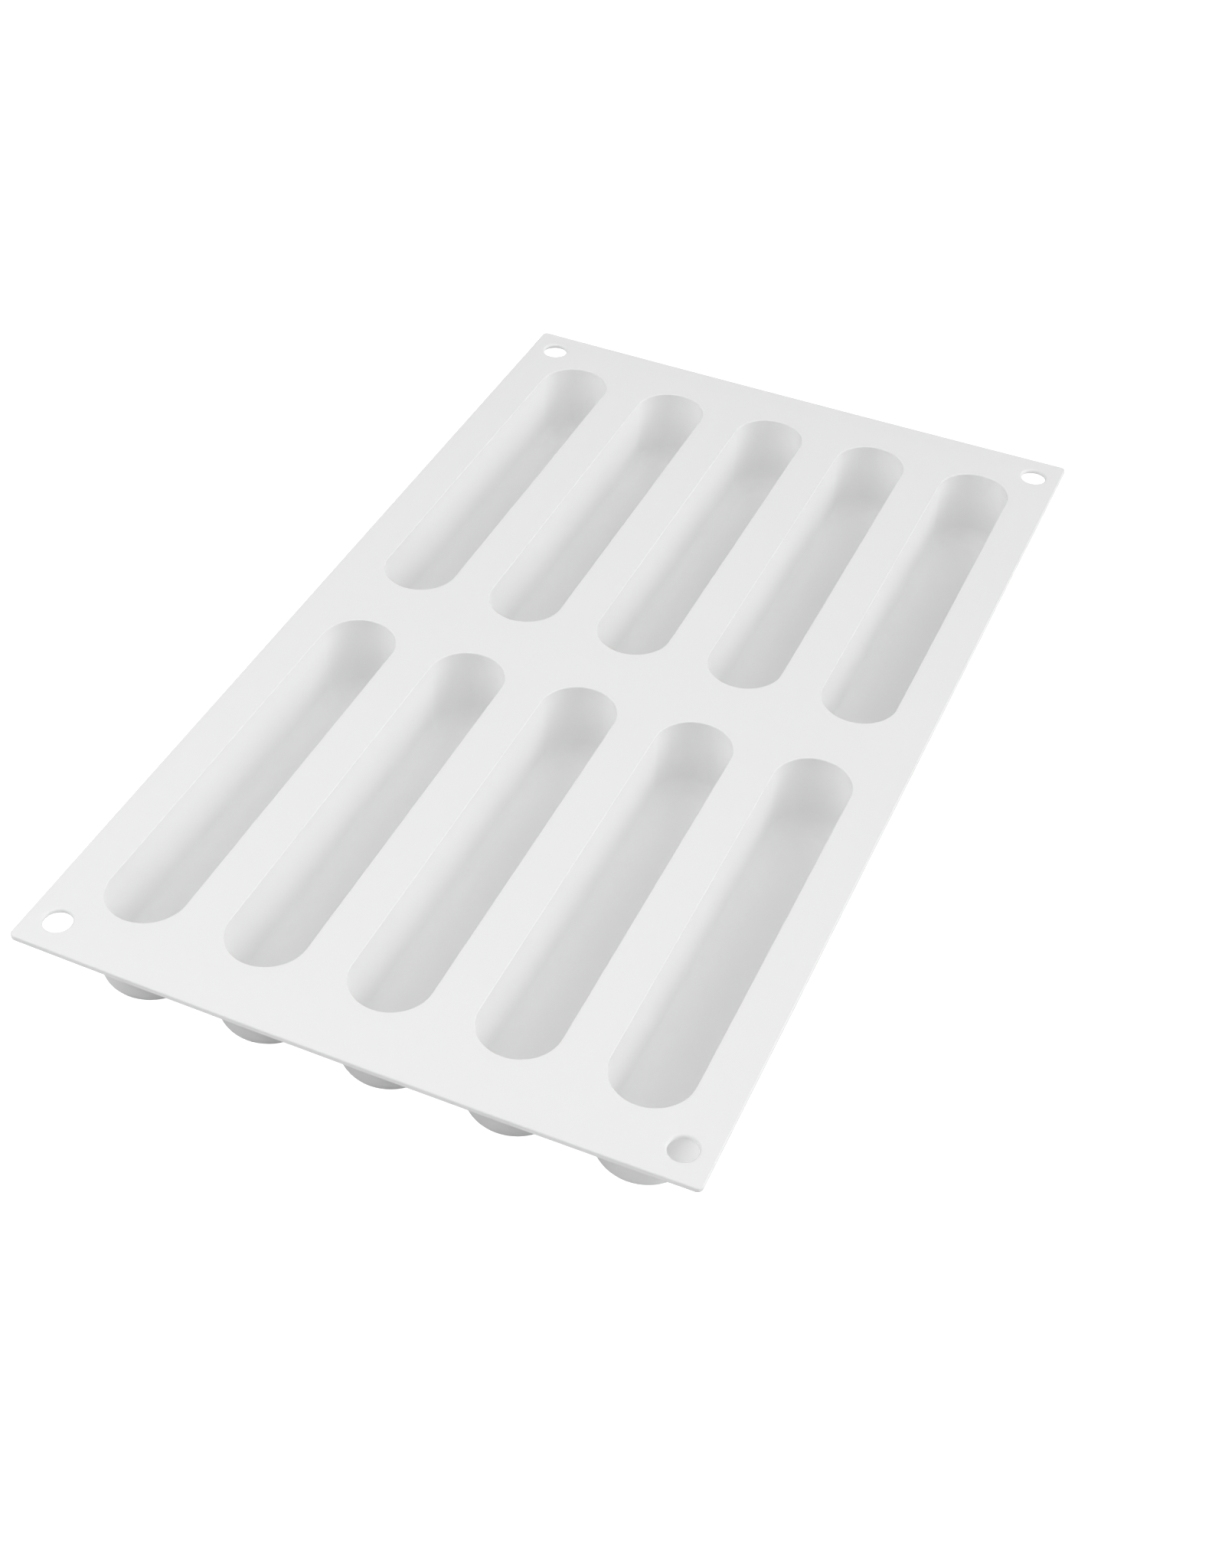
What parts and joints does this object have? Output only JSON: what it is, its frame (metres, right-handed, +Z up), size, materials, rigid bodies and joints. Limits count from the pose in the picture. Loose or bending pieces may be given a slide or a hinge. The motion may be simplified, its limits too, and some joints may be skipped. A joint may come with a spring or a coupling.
{
  "type": "baguette mould tray",
  "caption": "Flexible silicone baguette mould tray: a thin flat deck with rows of long, deep, round-ended troughs hanging below it and small holes in its corners.",
  "frame": {"origin": "centre of the footprint, on the plane that the trough floors rest on", "axes": "+X along the short side of the deck, +Y along the long side and along every trough, +Z up out of the troughs"},
  "size_m": [0.175, 0.3, 0.026],
  "materials": {
    "silicone": "soft satin, white, slightly translucent"
  },
  "bodies": {
    "root": {"deck_sheet": "silicone", "corner_front_left": "silicone", "corner_front_right": "silicone", "corner_back_right": "silicone", "corner_back_left": "silicone", "cavity_front_1": "silicone", "cavity_front_2": "silicone", "cavity_front_3": "silicone", "cavity_front_4": "silicone", "cavity_front_5": "silicone", "cavity_back_1": "silicone", "cavity_back_2": "silicone", "cavity_back_3": "silicone", "cavity_back_4": "silicone", "cavity_back_5": "silicone"}
  },
  "joints": []
}
